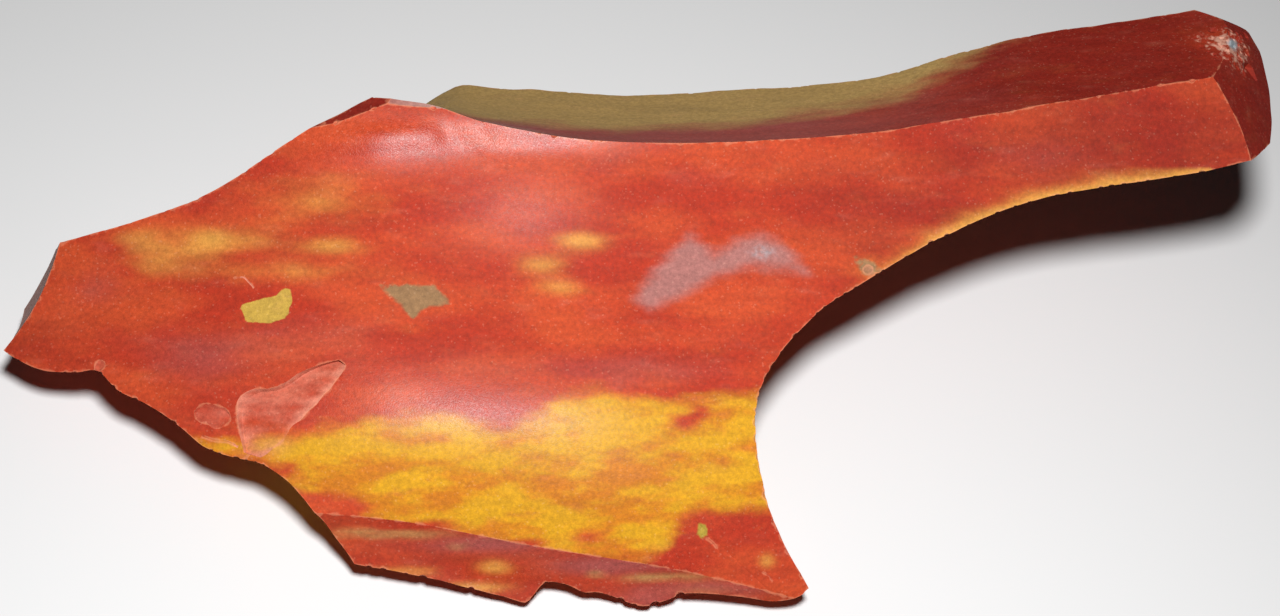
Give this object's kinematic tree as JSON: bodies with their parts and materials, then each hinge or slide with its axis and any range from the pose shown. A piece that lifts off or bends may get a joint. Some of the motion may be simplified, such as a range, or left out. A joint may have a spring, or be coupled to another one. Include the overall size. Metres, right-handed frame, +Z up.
{
  "type": "mookaite jasper",
  "caption": "Broken chunk of red and yellow banded jasper with a curved sloping face and a long bar-like arm above an open bay; rests on a small flat.",
  "frame": {"origin": "middle of the bounding box, at the level of the surface the stone rests on", "axes": "+X along the stone towards the end of the arm, +Y towards the back edge, +Z up"},
  "size_m": [0.1232, 0.0576, 0.0324],
  "materials": {
    "jasper": "fresh conchoidal break, satin, red-brown with mustard-yellow bands, mauve and olive-grey patches"
  },
  "bodies": {
    "root": {"jasper_stone": "jasper"}
  },
  "joints": []
}
